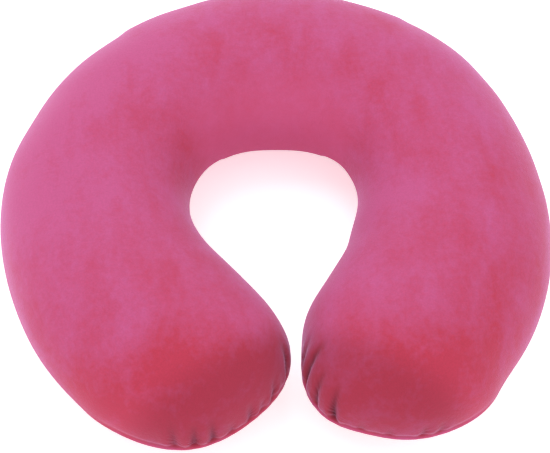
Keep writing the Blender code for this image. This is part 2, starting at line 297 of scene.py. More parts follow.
def half_width(along):
    to_arm = ease((np.abs(along) - WIDEN_START) / (ARM_START - WIDEN_START))
    return NECK_HALF_WIDTH + (ARM_HALF_WIDTH - NECK_HALF_WIDTH) * to_arm


def into_end(along):
    """How far into an arm's rounded end a place is, from 0 to 1."""
    return np.clip(1.0 - (HALF_LENGTH - np.abs(along)) / END_LENGTH, 0.0, 1.0)


def end_rounding(along):
    """Scale of the section: 1 along the tube, falling to 0 at the arm's end."""
    return (1.0 - into_end(along) ** END_POWER) ** (1.0 / END_POWER)


def zip_band(along):
    """Height of the zip's upright band on each side of the seam."""
    return BAND_HALF_HEIGHT * (1.0 - ease((np.abs(along) / RING_RADIUS - ZIP_ANGLE) / BAND_FADE))


def mouth_closing(along):
    """How far the cover's edges have closed: 0 over the zip, 1 where the plain seam starts."""
    return ease((np.abs(along) / RING_RADIUS - MOUTH_END) / MOUTH_FADE)


def full_rise(along, inset, side):
    """Height of a layer's middle over the seam, or its depth below it, away from the arms' ends."""
    full = CROWN_RATIO * half_width(along) if side > 0 else BELLY_DEPTH
    return full - inset


def rise_share(along, angle, side):
    """Share of the full rise at a section angle: round above the seam, sloping in from it below."""
    if side > 0:
        return np.maximum(np.sin(angle), 0.0) ** (2.0 / CROWN_POWER) * end_rounding(along)
    across = np.abs(np.cos(angle)) ** (2.0 / CROWN_POWER) * end_rounding(along)
    from_middle = (across ** END_POWER + into_end(along) ** END_POWER) ** (1.0 / END_POWER)
    return np.maximum(1.0 - from_middle ** BELLY_POWER, 0.0)


def share_angle(share, side):
    """Section angle on the outer half, before the arm's end, that has this share of the rise."""
    share = np.clip(share, 0.0, 1.0)
    if side > 0:
        return np.arcsin(share ** (CROWN_POWER / 2.0))
    return np.arccos((1.0 - share) ** (CROWN_POWER / (2.0 * BELLY_POWER)))


def form(along, angle, inset, side, band=0.0, closing=0.0):
    """Points of the layer at this depth: angle 0 is its outer edge, pi its inner edge on the seam."""
    across = np.cos(angle)
    share = rise_share(along, angle, side)
    reach = (half_width(along) - inset) * end_rounding(along)
    reach = reach * np.sign(across) * np.abs(across) ** (2.0 / CROWN_POWER)
    near_edge = np.clip(1.0 - share / MOUTH_SHARE, 0.0, 1.0) ** 2
    lift = band * (1.0 - closing * near_edge) * (1.0 + across) / 2.0
    rise = lift + (full_rise(along, inset, side) - lift) * share
    if side < 0:
        rise = np.minimum(rise, SEAM_HEIGHT - inset)
    beyond = np.maximum(np.abs(along) - ARM_START, 0.0)
    pulled_back = np.where(along < 0.0, -1.0, 1.0) * (np.abs(along) - beyond * inset / END_LENGTH)
    place, out = line_points(pulled_back)
    place = place + out * reach[..., None]
    place[..., 2] = SEAM_HEIGHT + side * rise
    return place


def stations(body_rows, end_rows):
    """Arc lengths from the left arm's end to the right, crowding in towards the ends."""
    body = np.linspace(-ARM_START, ARM_START, body_rows)
    mouth = RING_RADIUS * (MOUTH_END + MOUTH_FADE * np.linspace(0.0, 1.0, MOUTH_ROWS))
    mouth = np.concatenate([-mouth, mouth])
    clear = np.abs(body[:, None] - mouth[None]).min(axis=1) > ROW_GAP
    body = np.sort(np.concatenate([body[clear], mouth]))
    turn = np.pi / 2.0 * (np.arange(end_rows) / end_rows) ** END_CROWDING
    end = ARM_START + END_LENGTH * np.cos(turn) ** (2.0 / END_POWER)
    return np.concatenate([-end, body, end[::-1]])


def lean(points):
    """Move points by the leans, in plan only."""
    moved = points.copy()
    above = ease((points[..., 2] - SEAM_HEIGHT) / CROWN_LEAN_HEIGHT)
    for leans, share in ((LEANS, 1.0), (CROWN_LEANS, above)):
        for x, y, reach, shift_x, shift_y in leans:
            fade = share * np.exp(-((points[..., 0] - x) ** 2 + (points[..., 1] - y) ** 2) / reach ** 2)
            moved[..., 0] += shift_x * fade
            moved[..., 1] += shift_y * fade
    return moved


def surface_normals(points, side):
    """Unit normals of a grid of layer points, pointing away from the tube's middle."""
    normal = -side * np.cross(np.gradient(points, axis=0), np.gradient(points, axis=1))
    normal = normal / np.maximum(np.linalg.norm(normal, axis=2, keepdims=True), 1e-12)
    # Each arm's last row is a single point, which faces straight out of the arm's end.
    for row, beside in ((0, 3), (-1, -4)):
        way = points[row].mean(axis=0) - points[beside].mean(axis=0)
        way[2] = 0.0
        normal[row] = way / np.linalg.norm(way)
    return normal


def grid_faces(rows, columns):
    """Quads of a grid of points, row by row."""
    return [(row * columns + column, row * columns + column + 1,
             (row + 1) * columns + column + 1, (row + 1) * columns + column)
            for row in range(rows - 1) for column in range(columns - 1)]


def mesh_object(name, points, faces, material, flip=False, values=None):
    """Write points and faces to a new smooth-shaded object that rides on the pillow."""
    mesh = bpy.data.meshes.new(name)
    faces = [tuple(reversed(face)) for face in faces] if flip else faces
    mesh.from_pydata([tuple(point) for point in points], [], faces)
    for label, numbers in (values or {}).items():
        mesh.attributes.new(label, "FLOAT", "POINT").data.foreach_set("value", numbers)
    tidy = bmesh.new()
    tidy.from_mesh(mesh)
    bmesh.ops.remove_doubles(tidy, verts=tidy.verts, dist=2e-6)
    tidy.to_mesh(mesh)
    tidy.free()
    mesh.shade_smooth()
    piece = bpy.data.objects.new(name, mesh)
    piece.data.materials.append(material)
    bpy.context.scene.collection.objects.link(piece)
    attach(piece, "pillow")
    return piece


def loft_object(name, rings, material):
    """One closed tube or strip from equal rings of points, with a face at each end."""
    count = len(rings[0])
    points = [point for ring in rings for point in ring]
    faces = [(row * count + index, row * count + (index + 1) % count,
              (row + 1) * count + (index + 1) % count, (row + 1) * count + index)
             for row in range(len(rings) - 1) for index in range(count)]
    faces.append(tuple(reversed(range(count))))
    faces.append(tuple((len(rings) - 1) * count + index for index in range(count)))
    return fix_normals(mesh_object(name, points, faces, material))


def fix_normals(piece):
    """Turn every face of a closed piece outwards."""
    fix = bmesh.new()
    fix.from_mesh(piece.data)
    bmesh.ops.recalc_face_normals(fix, faces=fix.faces)
    fix.to_mesh(piece.data)
    fix.free()
    return piece


def thicken(piece, thickness):
    """Give a sheet its cloth thickness, inwards from the face that was built."""
    solid = piece.modifiers.new("cloth thickness", "SOLIDIFY")
    solid.thickness = thickness
    solid.offset = -1.0
    return piece


# ---------------------------------------------------------------- shader helpers

def new_material(name):
    material = bpy.data.materials.new(name)
    material.use_nodes = True
    nodes = material.node_tree.nodes
    return material, nodes, material.node_tree.links, nodes["Principled BSDF"]


def place_node(nodes, links, scale=(1.0, 1.0, 1.0), rotation=(0.0, 0.0, 0.0)):
    """Object coordinates in metres, stretched by scale."""
    coordinates = nodes.new("ShaderNodeTexCoord")
    mapping = nodes.new("ShaderNodeMapping")
    mapping.inputs["Scale"].default_value = scale
    mapping.inputs["Rotation"].default_value = rotation
    links.new(coordinates.outputs["Object"], mapping.inputs["Vector"])
    return mapping.outputs["Vector"]


def noise_node(nodes, links, vector, scale, detail=3.0, roughness=0.5, distortion=0.0):
    node = nodes.new("ShaderNodeTexNoise")
    node.inputs["Scale"].default_value = scale
    node.inputs["Detail"].default_value = detail
    node.inputs["Roughness"].default_value = roughness
    node.inputs["Distortion"].default_value = distortion
    links.new(vector, node.inputs["Vector"])
    return node.outputs["Fac"]


def ramp_node(nodes, links, factor, stops):
    """A colour ramp from (position, colour) stops."""
    node = nodes.new("ShaderNodeValToRGB")
    while len(node.color_ramp.elements) < len(stops):
        node.color_ramp.elements.new(0.5)
    for element, (position, colour) in zip(node.color_ramp.elements, stops):
        element.position = position
        element.color = (*colour, 1.0)
    links.new(factor, node.inputs["Fac"])
    return node.outputs["Color"]


def range_node(nodes, links, value, low, high, to_low, to_high):
    """Move a value smoothly from one range to another, and hold it there."""
    node = nodes.new("ShaderNodeMapRange")
    node.interpolation_type = "SMOOTHSTEP"
    for name, number in (("From Min", low), ("From Max", high), ("To Min", to_low), ("To Max", to_high)):
        node.inputs[name].default_value = number
    links.new(value, node.inputs["Value"])
    return node.outputs["Result"]


def mix_node(nodes, links, factor, first, second, blend="MIX"):
    """Mix two colours, each a socket or a colour, by a socket or a number."""
    node = nodes.new("ShaderNodeMix")
    node.data_type = "RGBA"
    node.blend_type = blend
    factor_in = node.inputs[0]
    for socket, value in ((factor_in, factor), (node.inputs[6], first), (node.inputs[7], second)):
        if isinstance(value, bpy.types.NodeSocket):
            links.new(value, socket)
        elif socket is factor_in:
            socket.default_value = value
        else:
            socket.default_value = (*value, 1.0)
    return node.outputs[2]


def math_node(nodes, links, operation, first, second=0.0, third=0.0):
    node = nodes.new("ShaderNodeMath")
    node.operation = operation
    for socket, value in zip(node.inputs, (first, second, third)):
        if isinstance(value, bpy.types.NodeSocket):
            links.new(value, socket)
        else:
            socket.default_value = value
    return node.outputs[0]


def dot_node(nodes, links, vector, direction):
    node = nodes.new("ShaderNodeVectorMath")
    node.operation = "DOT_PRODUCT"
    node.inputs[1].default_value = direction
    links.new(vector, node.inputs[0])
    return node.outputs["Value"]


def add_share(nodes, links, value, pattern, amount):
    """Add a pattern to a value, so that a pattern of one half changes nothing."""
    centred = math_node(nodes, links, "SUBTRACT", pattern, 0.5)
    return math_node(nodes, links, "ADD", value, math_node(nodes, links, "MULTIPLY", centred, amount))


def attribute_node(nodes, name):
    """A value that the mesh carries at each point."""
    node = nodes.new("ShaderNodeAttribute")
    node.attribute_name = name
    return node.outputs["Fac"]


def bump_node(nodes, links, height, strength, distance, normal=None):
    node = nodes.new("ShaderNodeBump")
    node.inputs["Strength"].default_value = strength
    node.inputs["Distance"].default_value = distance
    links.new(height, node.inputs["Height"])
    if normal is not None:
        links.new(normal, node.inputs["Normal"])
    return node.outputs["Normal"]


# ---------------------------------------------------------------- materials

def velour(name, deep, bright):
    """Short-pile velour: brushed patches of deep and bright pink, painted light and shade by facing, at
    the arm ends, in the creases and on the neck opening's back wall, a lilac sheen and a fine pile.
    """
    material, nodes, links, shader = new_material(name)
    place = place_node(nodes, links)
    streaks = place_node(nodes, links, scale=(1.0, 0.45, 1.0), rotation=(0.0, 0.0, 0.35))
    clouds = noise_node(nodes, links, place, 16.0, detail=2.0, distortion=0.8)
    marks = noise_node(nodes, links, streaks, 62.0, detail=4.0, roughness=0.6, distortion=0.5)
    flecks = noise_node(nodes, links, place, 260.0, detail=3.0, roughness=0.6)
    pile = noise_node(nodes, links, place, 900.0, detail=3.0, roughness=0.7)
    tufts = noise_node(nodes, links, place, 2600.0, detail=2.0, roughness=0.6)
    normal = nodes.new("ShaderNodeNewGeometry").outputs["Normal"]
    split = nodes.new("ShaderNodeSeparateXYZ")
    links.new(place, split.inputs["Vector"])
    # Painted shade in the creases, and as negative values a painted highlight on the edge's crest.
    crease = attribute_node(nodes, PAINTED_SHADE_AND_HIGHLIGHT)

    # Tone, 0 deep and 1 bright: painted light and shade by facing, brighter towards the back, deeper
    # towards the front.
    tone = range_node(nodes, links, dot_node(nodes, links, normal, PAINTED_LIGHT_WAY), *PAINTED_LIGHT_FACING, *PAINTED_LIGHT_TONES)
    for pattern, amount in ((clouds, 1.0), (marks, 1.1), (flecks, 0.7)):
        tone = add_share(nodes, links, tone, pattern, amount)
    # Painted shade: the tone deepens towards the front of the arm ends.
    ends = range_node(nodes, links, split.outputs["Y"], *END_PAINTED_SHADE_SPAN, END_PAINTED_SHADE, 0.0)
    tone = math_node(nodes, links, "SUBTRACT", tone, ends)
    tone = math_node(nodes, links, "ADD", tone, attribute_node(nodes, BRUSHED))
    # Painted shade in the creases deepens the tone; the edge crest's painted highlight lifts it.
    tone = math_node(nodes, links, "SUBTRACT", tone, crease)
    colour = ramp_node(nodes, links, tone, [(0.0, deep), (1.0, bright)])
    grain = ramp_node(nodes, links, pile, [(0.30, (0.80, 0.80, 0.80)), (0.70, (1.0, 1.0, 1.0))])
    colour = mix_node(nodes, links, 0.7, colour, grain, "MULTIPLY")

    # Painted shade at the arm ends and in the creases, then painted light on the back wall of the neck
    # opening.
    sideways = math_node(nodes, links, "ABSOLUTE", split.outputs["X"])
    front = math_node(nodes, links, "MULTIPLY", sideways, -FRONT_SHADE_SLANT)
    front = math_node(nodes, links, "SUBTRACT", front, split.outputs["Y"])
    shade = range_node(nodes, links, front, *FRONT_SHADE_SPAN, 0.0, FRONT_PAINTED_SHADE)
    shade = math_node(nodes, links, "MULTIPLY_ADD", crease, CREASE_SHADE, shade)
    colour = mix_node(nodes, links, shade, colour, SHADE_COLOUR)
    # Painted light on the back wall of the neck opening, where it faces the front.
    to_front = dot_node(nodes, links, normal, (0.0, -1.0, 0.0))
    facing_front = range_node(nodes, links, to_front, *WALL_LIGHT_FACING, 0.0, WALL_LIGHT_SHARE)
    behind = range_node(nodes, links, split.outputs["Y"], *WALL_LIGHT_SPAN, 0.0, 1.0)
    wall = math_node(nodes, links, "MULTIPLY", facing_front, behind)
    colour = mix_node(nodes, links, wall, colour, WALL_LIGHT_COLOUR)
    links.new(colour, shader.inputs["Base Color"])
    links.new(range_node(nodes, links, pile, 0.3, 0.7, 0.73, 0.94), shader.inputs["Roughness"])
    shader.inputs["Specular IOR Level"].default_value = 0.12
    shader.inputs["Sheen Weight"].default_value = 0.55
    shader.inputs["Sheen Roughness"].default_value = 0.42
    shader.inputs["Sheen Tint"].default_value = (0.75, 0.50, 0.84, 1.0)
    soft = bump_node(nodes, links, marks, 0.18, 0.0012)
    fine = bump_node(nodes, links, pile, 0.35, 0.0006, soft)
    links.new(bump_node(nodes, links, tufts, 0.25, 0.0003, fine), shader.inputs["Normal"])
    return material


def woven(name, colour, shade, thread, roughness=0.85, sheen=0.2):
    """Plain woven cloth with threads of this width."""
    material, nodes, links, shader = new_material(name)
    place = place_node(nodes, links)
    waves = []
    for direction in ("X", "Y"):
        wave = nodes.new("ShaderNodeTexWave")
        wave.bands_direction = direction
        # A wave is 0.314 / scale long, so this scale makes it about one thread wide.
        wave.inputs["Scale"].default_value = 1.0 / thread / 3.14
        wave.inputs["Distortion"].default_value = 0.6
        links.new(place, wave.inputs["Vector"])
        waves.append(wave.outputs["Fac"])
    weave = math_node(nodes, links, "MULTIPLY", waves[0], waves[1])
    cloud = noise_node(nodes, links, place, 60.0, detail=3.0)
    tone = ramp_node(nodes, links, cloud, [(0.3, shade), (0.7, colour)])
    thread_tone = ramp_node(nodes, links, weave, [(0.0, (0.78, 0.78, 0.78)), (0.6, (1.0, 1.0, 1.0))])
    links.new(mix_node(nodes, links, 0.8, tone, thread_tone, "MULTIPLY"), shader.inputs["Base Color"])
    links.new(range_node(nodes, links, cloud, 0.3, 0.7, roughness - 0.08, roughness + 0.08),
              shader.inputs["Roughness"])
    shader.inputs["Sheen Weight"].default_value = sheen
    links.new(bump_node(nodes, links, weave, 0.5, thread * 0.4), shader.inputs["Normal"])
    return material


def nylon(name, colour, shade):
    """Moulded nylon filament of the zip's coils."""
    material, nodes, links, shader = new_material(name)
    place = place_node(nodes, links)
    cloud = noise_node(nodes, links, place, 180.0, detail=2.0)
    links.new(ramp_node(nodes, links, cloud, [(0.3, shade), (0.7, colour)]), shader.inputs["Base Color"])
    links.new(range_node(nodes, links, cloud, 0.3, 0.7, 0.30, 0.45), shader.inputs["Roughness"])
    fine = noise_node(nodes, links, place, 1500.0)
    links.new(bump_node(nodes, links, fine, 0.1, 0.0002), shader.inputs["Normal"])
    return material


def plated_metal(name):
    """Nickel-plated zinc with fine wear scratches."""
    material, nodes, links, shader = new_material(name)
    scratches = place_node(nodes, links, scale=(1.0, 1.0, 14.0))
    wear = noise_node(nodes, links, scratches, 220.0, detail=5.0, roughness=0.65)
    cloud = noise_node(nodes, links, place_node(nodes, links), 300.0, detail=2.0)
    links.new(ramp_node(nodes, links, cloud, [(0.3, (0.33, 0.325, 0.32)), (0.7, (0.45, 0.445, 0.44))]),
              shader.inputs["Base Color"])
    links.new(range_node(nodes, links, wear, 0.35, 0.65, 0.22, 0.42), shader.inputs["Roughness"])
    shader.inputs["Metallic"].default_value = 1.0
    links.new(bump_node(nodes, links, wear, 0.12, 0.0001), shader.inputs["Normal"])
    return material


def satin(name):
    """Bright satin ribbon with a fine diagonal weave."""
    material, nodes, links, shader = new_material(name)
    place = place_node(nodes, links)
    wave = nodes.new("ShaderNodeTexWave")
    wave.bands_direction = "DIAGONAL"
    wave.inputs["Scale"].default_value = 900.0
    wave.inputs["Distortion"].default_value = 1.0
    links.new(place, wave.inputs["Vector"])
    weave = wave.outputs["Fac"]
    cloud = noise_node(nodes, links, place, 120.0)
    links.new(ramp_node(nodes, links, cloud, [(0.3, (0.61, 0.60, 0.58)), (0.7, (0.66, 0.65, 0.63))]),
              shader.inputs["Base Color"])
    links.new(range_node(nodes, links, weave, 0.0, 1.0, 0.34, 0.50), shader.inputs["Roughness"])
    shader.inputs["Sheen Weight"].default_value = 0.3
    links.new(bump_node(nodes, links, weave, 0.3, 0.0001), shader.inputs["Normal"])
    return material


def loose_fibre(name):
    """White polyester fibre: tangled strands and soft clumps."""
    material, nodes, links, shader = new_material(name)
    place = place_node(nodes, links)
    clumps = noise_node(nodes, links, place, 90.0, detail=5.0, roughness=0.6)
    strands = noise_node(nodes, links, place, 520.0, detail=6.0, roughness=0.75, distortion=3.0)
    links.new(ramp_node(nodes, links, clumps, [(0.3, (0.74, 0.74, 0.72)), (0.7, (0.93, 0.93, 0.91))]),
              shader.inputs["Base Color"])
    links.new(range_node(nodes, links, clumps, 0.3, 0.7, 0.88, 1.0), shader.inputs["Roughness"])
    shader.inputs["Sheen Weight"].default_value = 0.4
    soft = bump_node(nodes, links, clumps, 0.5, 0.003)
    links.new(bump_node(nodes, links, strands, 0.6, 0.0008, soft), shader.inputs["Normal"])
    return material


# ---------------------------------------------------------------- cover panels

def seam_outline():
    """Points along the seam of both arms, each with its arm and its distance from the arm's end.

    The distance is positive along the outside of the U and negative along the inside.
    """
    along = stations(SEAM_SAMPLES // 2, SEAM_SAMPLES // 10)
    along = along[along >= 0.0]
    rows = []
    for arm in (-1.0, 1.0):
        for angle, sign in ((0.0, 1.0), (math.pi, -1.0)):
            points = lean(form(arm * along, np.full_like(along, angle), 0.0, 1))
            steps = np.linalg.norm(np.diff(points, axis=0), axis=1)
            to_end = np.concatenate([np.cumsum(steps[::-1])[::-1], [0.0]])
            rows += [(point, arm, sign * value) for point, value in zip(points, to_end)]
    return rows


def seam_places(points):
    """For each point: the nearest seam place's arm and distance from the arm's end, and how far it is."""
    rows = seam_outline()
    tree = kdtree.KDTree(len(rows))
    for index, (point, _, _) in enumerate(rows):
        tree.insert(point, index)
    tree.balance()
    arms = np.zeros(len(points))
    places = np.zeros(len(points))
    far = np.zeros(len(points))
    for index, point in enumerate(points):
        _, nearest, distance = tree.find(point)
        arms[index] = rows[nearest][1]
        places[index] = rows[nearest][2]
        far[index] = distance
    return arms, places, far


def gather_depth(arms, places, far):
    """How far the gathers pull each point in, with a soft ridge beside them, and how much painted shade
    their creases get.
    """
    pulled = np.zeros(len(arms))
    shade = np.zeros(len(arms))
    for arm, centre, reach, depth, width, slant in GATHERS:
        spread = GATHER_SPREAD * width * (1.0 + 0.5 * far / reach)
        across = (places - centre - slant * far) / spread
        fade = np.clip(1.0 - far / reach, 0.0, 1.0) * ease(far / GATHER_START)
        crease = np.exp(-across ** 2) - 0.40 * np.exp(-(np.abs(across) - 1.8) ** 2)
        pulled += np.where(arms == arm, depth * fade * crease, 0.0)
        # Painted shade along each gather's crease.
        shade += np.where(arms == arm, depth * fade * np.exp(-(across / 0.8) ** 2), 0.0)
    return pulled, np.clip(shade / GATHER_DEEPEST, 0.0, 1.0)


def brushed_tone(points):
    """Change of tone at each point from the brushed places."""
    change = np.zeros(len(points))
    for x, y, reach, shift in BRUSHINGS:
        change += shift * np.exp(-((points[:, 0] - x) ** 2 + (points[:, 1] - y) ** 2) / reach ** 2)
    return change


def near_ends(places):
    """1 along the seam of an arm's end, fading to 0 further along the arm."""
    return 1.0 - ease((np.abs(places) - 0.6 * RIPPLE_REACH) / (0.4 * RIPPLE_REACH))


def edge_ripple(places, far):
    """How far the surface stands out beside the seam of an arm's end."""
    ripple = sum(height * np.exp(-((far - centre) / width) ** 2)
                 for centre, width, height in EDGE_RIPPLES)
    return ripple * near_ends(places)


def lumps(points, size):
    """Soft unevenness of the stuffing, about plus and minus one, with lumps of about this size."""
    shift = Vector((5.0, 2.0, 7.0))
    places = [Vector(point) / size for point in points]
    return np.array([noise.noise(place) + 0.5 * noise.noise(place * 2.2 + shift) for place in places])


def panel_angles(along, side):
    """Section angles of a panel's columns, closer together at its two edges."""
    span = np.maximum(full_rise(along, 0.0, side) * end_rounding(along) - zip_band(along), 1e-6)[:, None]
    climb = EDGE_ROLL * (1.0 - np.cos(np.pi / 2.0 * np.arange(EDGE_COLUMNS) / EDGE_COLUMNS))
    edge = share_angle(np.minimum(climb[None] / span, 0.2 * climb[None] / EDGE_ROLL), side)
    first = share_angle(np.minimum(EDGE_ROLL / span, 0.2), side)
    crown = first + (np.pi - 2.0 * first) * np.linspace(0.0, 1.0, CROWN_COLUMNS)[None]
    return np.concatenate([edge, crown, np.pi - edge[:, ::-1]], axis=1)


def cover_panel(name, side, material):
    """One velour panel: rolled in at the seam and the zip, gathered at the arm ends, softly lumpy."""
    along = stations(BODY_ROWS, END_ROWS)
    angles = panel_angles(along, side)
    station = np.repeat(along[:, None], angles.shape[1], axis=1)
    points = lean(form(station, angles, 0.0, side, zip_band(station), mouth_closing(station)))
    normals = surface_normals(points, side)
    level = normals * (1.0, 1.0, 0.0)
    level /= np.maximum(np.linalg.norm(level, axis=2, keepdims=True), 1e-9)
    edge_height = np.where(angles < np.pi / 2.0, points[:, :1, 2], points[:, -1:, 2])
    climb = np.clip(side * (points[..., 2] - edge_height), 0.0, EDGE_ROLL)
    roll = EDGE_ROLL - np.sqrt(EDGE_ROLL ** 2 - (EDGE_ROLL - climb) ** 2)
    flat = points.reshape(-1, 3)
    arms, places, far = seam_places(flat)
    uneven = LUMP_HEIGHT * lumps(flat, LUMP_SIZE) * ease(far / LUMP_START)
    pulled, shade = gather_depth(arms, places, far)
    move = uneven + edge_ripple(places, far) - pulled
    if side < 0:
        drop = (SEAM_HEIGHT - points[..., 2]) / TUCK_HEIGHT
        roll = roll + TUCK * (1.0 - ease(drop)) * (1.0 - zip_band(station) / BAND_HALF_HEIGHT)
    points = points - level * roll[..., None] + normals * move.reshape(station.shape)[..., None]
    outer_shelf = points[:, :1] - level[:, :1] * EDGE_SHELF
    inner_shelf = points[:, -1:] - level[:, -1:] * EDGE_SHELF
    points = np.concatenate([outer_shelf, points, inner_shelf], axis=1)
    points[..., 2] = np.maximum(points[..., 2], FLOOR_CLEARANCE)
    # The crease value less a painted highlight along the edge's crest at the arm ends.
    shade = shade - EDGE_PAINTED_HIGHLIGHT * near_ends(places) * np.exp(-((far - EDGE_CREST) / EDGE_CREST) ** 2)
    values = {label: np.pad(numbers.reshape(station.shape), ((0, 0), (1, 1)), "edge").reshape(-1)
              for label, numbers in ((PAINTED_SHADE_AND_HIGHLIGHT, shade), (BRUSHED, brushed_tone(flat)))}
    piece = mesh_object(name, points.reshape(-1, 3), grid_faces(*points.shape[:2]), material,
                        flip=side < 0, values=values)
    return thicken(piece, COVER_THICKNESS)


# ---------------------------------------------------------------- zip

def zip_ring(angle, depth, height):
    """Point on the zip: angle round the back, depth under the cover's face and height over the seam."""
    radius = ZIP_RADIUS - depth
    y = RING_CENTRE_Y + radius * math.cos(angle)
    return Vector((radius * math.sin(angle), y, SEAM_HEIGHT + height))


def band_points(along, heights, inset, side):
    """A layer's points at these heights from the seam: up the zip's band, then on the panel's form."""
    station = np.repeat(along[:, None], len(heights), axis=1)
    height = np.repeat(heights[None], len(along), axis=0)
    band = zip_band(station)
    share = (height - band) / (full_rise(station, inset, side) - band)
    angle = np.where(height <= band, 0.0, share_angle(share, side))
    return form(station, angle, inset, side, np.minimum(height, band))


def zip_tape(name, side, material):
    """One half of the zip's tape, just behind its panel's edge."""
    end = RING_RADIUS * ZIP_ANGLE
    along = np.linspace(-end, end, TAPE_ROWS)
    heights = np.linspace(*TAPE_SPAN, TAPE_COLUMNS)
    front = band_points(along, heights, TAPE_DEPTHS[0], side)
    behind = band_points(along, heights[::-1], TAPE_DEPTHS[1], side)
    return loft_object(name, np.concatenate([front, behind], axis=1).tolist(), material)


def zip_coil(name, side, material):
    """A nylon coil: a wire helix, flattened between its two depths, with loops beside the centre gap."""
    curve = bpy.data.curves.new(name, "CURVE")
    curve.dimensions = "3D"
    curve.bevel_depth = COIL_WIRE
    curve.bevel_resolution = 1
    curve.use_fill_caps = True
    turns = round(2.0 * COIL_ANGLE * ZIP_RADIUS / COIL_PITCH)
    count = turns * COIL_STEPS + 1
    spline = curve.splines.new("POLY")
    spline.points.add(count - 1)
    depth_middle = sum(COIL_DEPTHS) / 2.0
    depth_reach = (COIL_DEPTHS[1] - COIL_DEPTHS[0]) / 2.0 - COIL_WIRE
    height_middle = sum(COIL_SPAN) / 2.0
    height_reach = (COIL_SPAN[1] - COIL_SPAN[0]) / 2.0 - COIL_WIRE
    for index, point in enumerate(spline.points):
        turn = 2.0 * math.pi * index / COIL_STEPS
        angle = COIL_ANGLE * (2.0 * index / (count - 1) - 1.0)
        height = side * (height_middle + height_reach * math.cos(turn))
        point.co = (*zip_ring(angle, depth_middle + depth_reach * math.sin(turn), height), 1.0)
    coil = bpy.data.objects.new(name, curve)
    curve.materials.append(material)
    bpy.context.scene.collection.objects.link(coil)
    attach(coil, "pillow")
    return coil


def stitch_row(name, side, material):
    """A row of thread stitches that holds the cover's edge to the zip tape, as one mesh."""
    sides = STITCH_SIDES
    rings = len(STITCH_SWELL)
    end = RING_RADIUS * ZIP_ANGLE - STITCH_SPACING
    small_rise = 0.0005
    centres = np.arange(-end, end, STITCH_SPACING)
    points = []
    faces = []
    for centre in centres:
        start = len(points)
        along = centre + STITCH_LENGTH * np.linspace(-0.5, 0.5, rings)
        middle = band_points(along, np.array([STITCH_HEIGHT]), 0.0, side)[:, 0]
        upper = band_points(along, np.array([STITCH_HEIGHT + small_rise]), 0.0, side)[:, 0]
        for place, above, swell, dip in zip(middle, upper, STITCH_SWELL, STITCH_DIPS):
            rise = Vector(above - place).normalized()
            way = Vector((place[1] - RING_CENTRE_Y, -place[0], 0.0)).normalized()
            out = rise.cross(way).normalized() * (-side)
            for step in range(sides):
                turn = 2.0 * math.pi * step / sides
                round_it = (rise * math.cos(turn) + out * math.sin(turn)) * STITCH_RADIUS * swell
                points.append(Vector(place) - out * dip + round_it)
        for ring in range(rings - 1):
            for step in range(sides):
                near = start + ring * sides
                after = (step + 1) % sides
                faces.append((near + step, near + after, near + sides + after, near + sides + step))
        faces.append(tuple(start + step for step in reversed(range(sides))))
        faces.append(tuple(start + (rings - 1) * sides + step for step in range(sides)))
    return fix_normals(mesh_object(name, points, faces, material))


# ---------------------------------------------------------------- label

def label_profile():
    """The folded label's path as (out from the seam, down from the seam), from the seam down and back."""
    shares = np.arange(1, LABEL_STEPS + 1) / LABEL_STEPS
    front, back = ([(out + bow * math.sin(math.pi * share), LABEL_SHOULDER + LABEL_RUN * share)
                    for share in shares] for out, bow in zip(LABEL_OUT, LABEL_BOW))
    out, down = front[-1]
    turns = math.pi * np.arange(1, LABEL_FOLD_STEPS) / LABEL_FOLD_STEPS
    fold = [(out - LABEL_FOLD * (1.0 - math.cos(turn)), down + LABEL_FOLD * math.sin(turn))
            for turn in turns]
    sewn_in = [(-0.0014, 0.0002), (0.0, 0.0001), (0.0009, 0.0007), (LABEL_OUT[0], LABEL_SHOULDER)]
    return sewn_in + front + fold + back[::-1] + [(-0.0004, 0.0012), (-0.0014, 0.0006)]


def care_label(material):
    """The folded label, and its length when laid flat."""
    path = label_profile()
    along = LABEL_CENTRE + LABEL_WIDTH * np.linspace(-0.5, 0.5, LABEL_COLUMNS)
    place, out = line_points(along)
    points = []
    for out_by, down in path:
        wave = np.sin(np.linspace(0.0, 5.0, LABEL_COLUMNS) + 60.0 * down)
        ripple = LABEL_RIPPLE * (down / LABEL_DROP) * wave
        reach = half_width(along) + out_by + ripple
        row = place + out * reach[:, None]
        row[:, 2] = SEAM_HEIGHT - down
        points.append(row)
    points = np.stack(points)
    label = mesh_object("label_loop", points.reshape(-1, 3), grid_faces(*points.shape[:2]), material)
    thicken(label, LABEL_CLOTH)
    steps = np.diff(np.array(path), axis=0)
    return label, float(np.linalg.norm(steps, axis=1).sum())


# ---------------------------------------------------------------- inner case and fill

def inner_grid(inset, side, puff):
    """A layer's grid of points, pushed about by soft lumps that fade out at the seam."""
    along = stations(INNER_ROWS, END_ROWS // 2)
    angles = np.repeat(np.linspace(0.0, np.pi, INNER_COLUMNS)[None], len(along), axis=0)
    station = np.repeat(along[:, None], INNER_COLUMNS, axis=1)
    points = lean(form(station, angles, inset, side))
    normals = surface_normals(points, side)
    uneven = puff * (lumps(points.reshape(-1, 3), INNER_LUMP_SIZE).reshape(station.shape) - 0.8)
    return points + normals * (uneven * ease(np.sin(angles) * 3.0))[..., None]


def case_panel(name, side, material):
    """One half of the inner case."""
    points = inner_grid(CASE_DEPTH, side, CASE_PUFF)
    faces = grid_faces(*points.shape[:2])
    piece = mesh_object(name, points.reshape(-1, 3), faces, material, flip=side < 0)
    return thicken(piece, CASE_THICKNESS)


def fibre_stuffing(material):
    """The fibre fill: one closed body, a little lumpy, inside the case."""
    upper = inner_grid(FILL_DEPTH, 1, FILL_PUFF)
    lower = inner_grid(FILL_DEPTH, -1, FILL_PUFF)[:, -2:0:-1]
    rings = np.concatenate([upper, lower, upper[:, :1]], axis=1)
    return mesh_object("fibre_stuffing", rings.reshape(-1, 3), grid_faces(*rings.shape[:2]), material)


